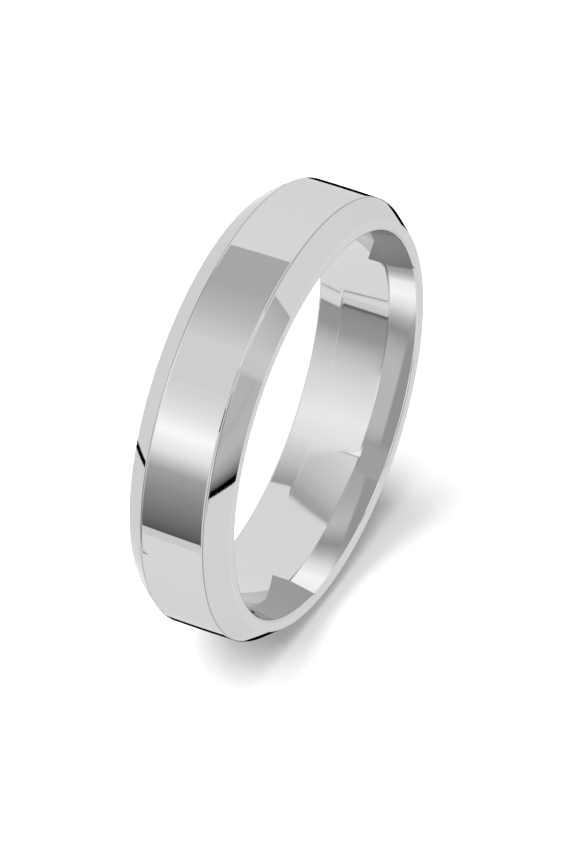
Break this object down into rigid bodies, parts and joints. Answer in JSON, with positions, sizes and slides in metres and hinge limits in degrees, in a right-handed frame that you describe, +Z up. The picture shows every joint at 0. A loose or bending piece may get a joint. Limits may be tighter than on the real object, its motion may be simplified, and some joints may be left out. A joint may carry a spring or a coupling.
{
  "type": "wedding band",
  "caption": "Plain wedding band with a flat polished outer face, two bevelled edges, narrow flat side walls and a comfort-fit finger hole.",
  "frame": {"origin": "centre of the ring, on its axis and half way across its width", "axes": "+Y along the ring's axis, +Z up as the ring stands on its rim, +X to the side"},
  "size_m": [0.0208, 0.005, 0.0208],
  "materials": {
    "polished_white_gold": "mirror-polished white metal, the same on the flat, the bevels, the side walls and the finger side"
  },
  "bodies": {
    "root": {"ring_band": "polished_white_gold"}
  },
  "joints": []
}
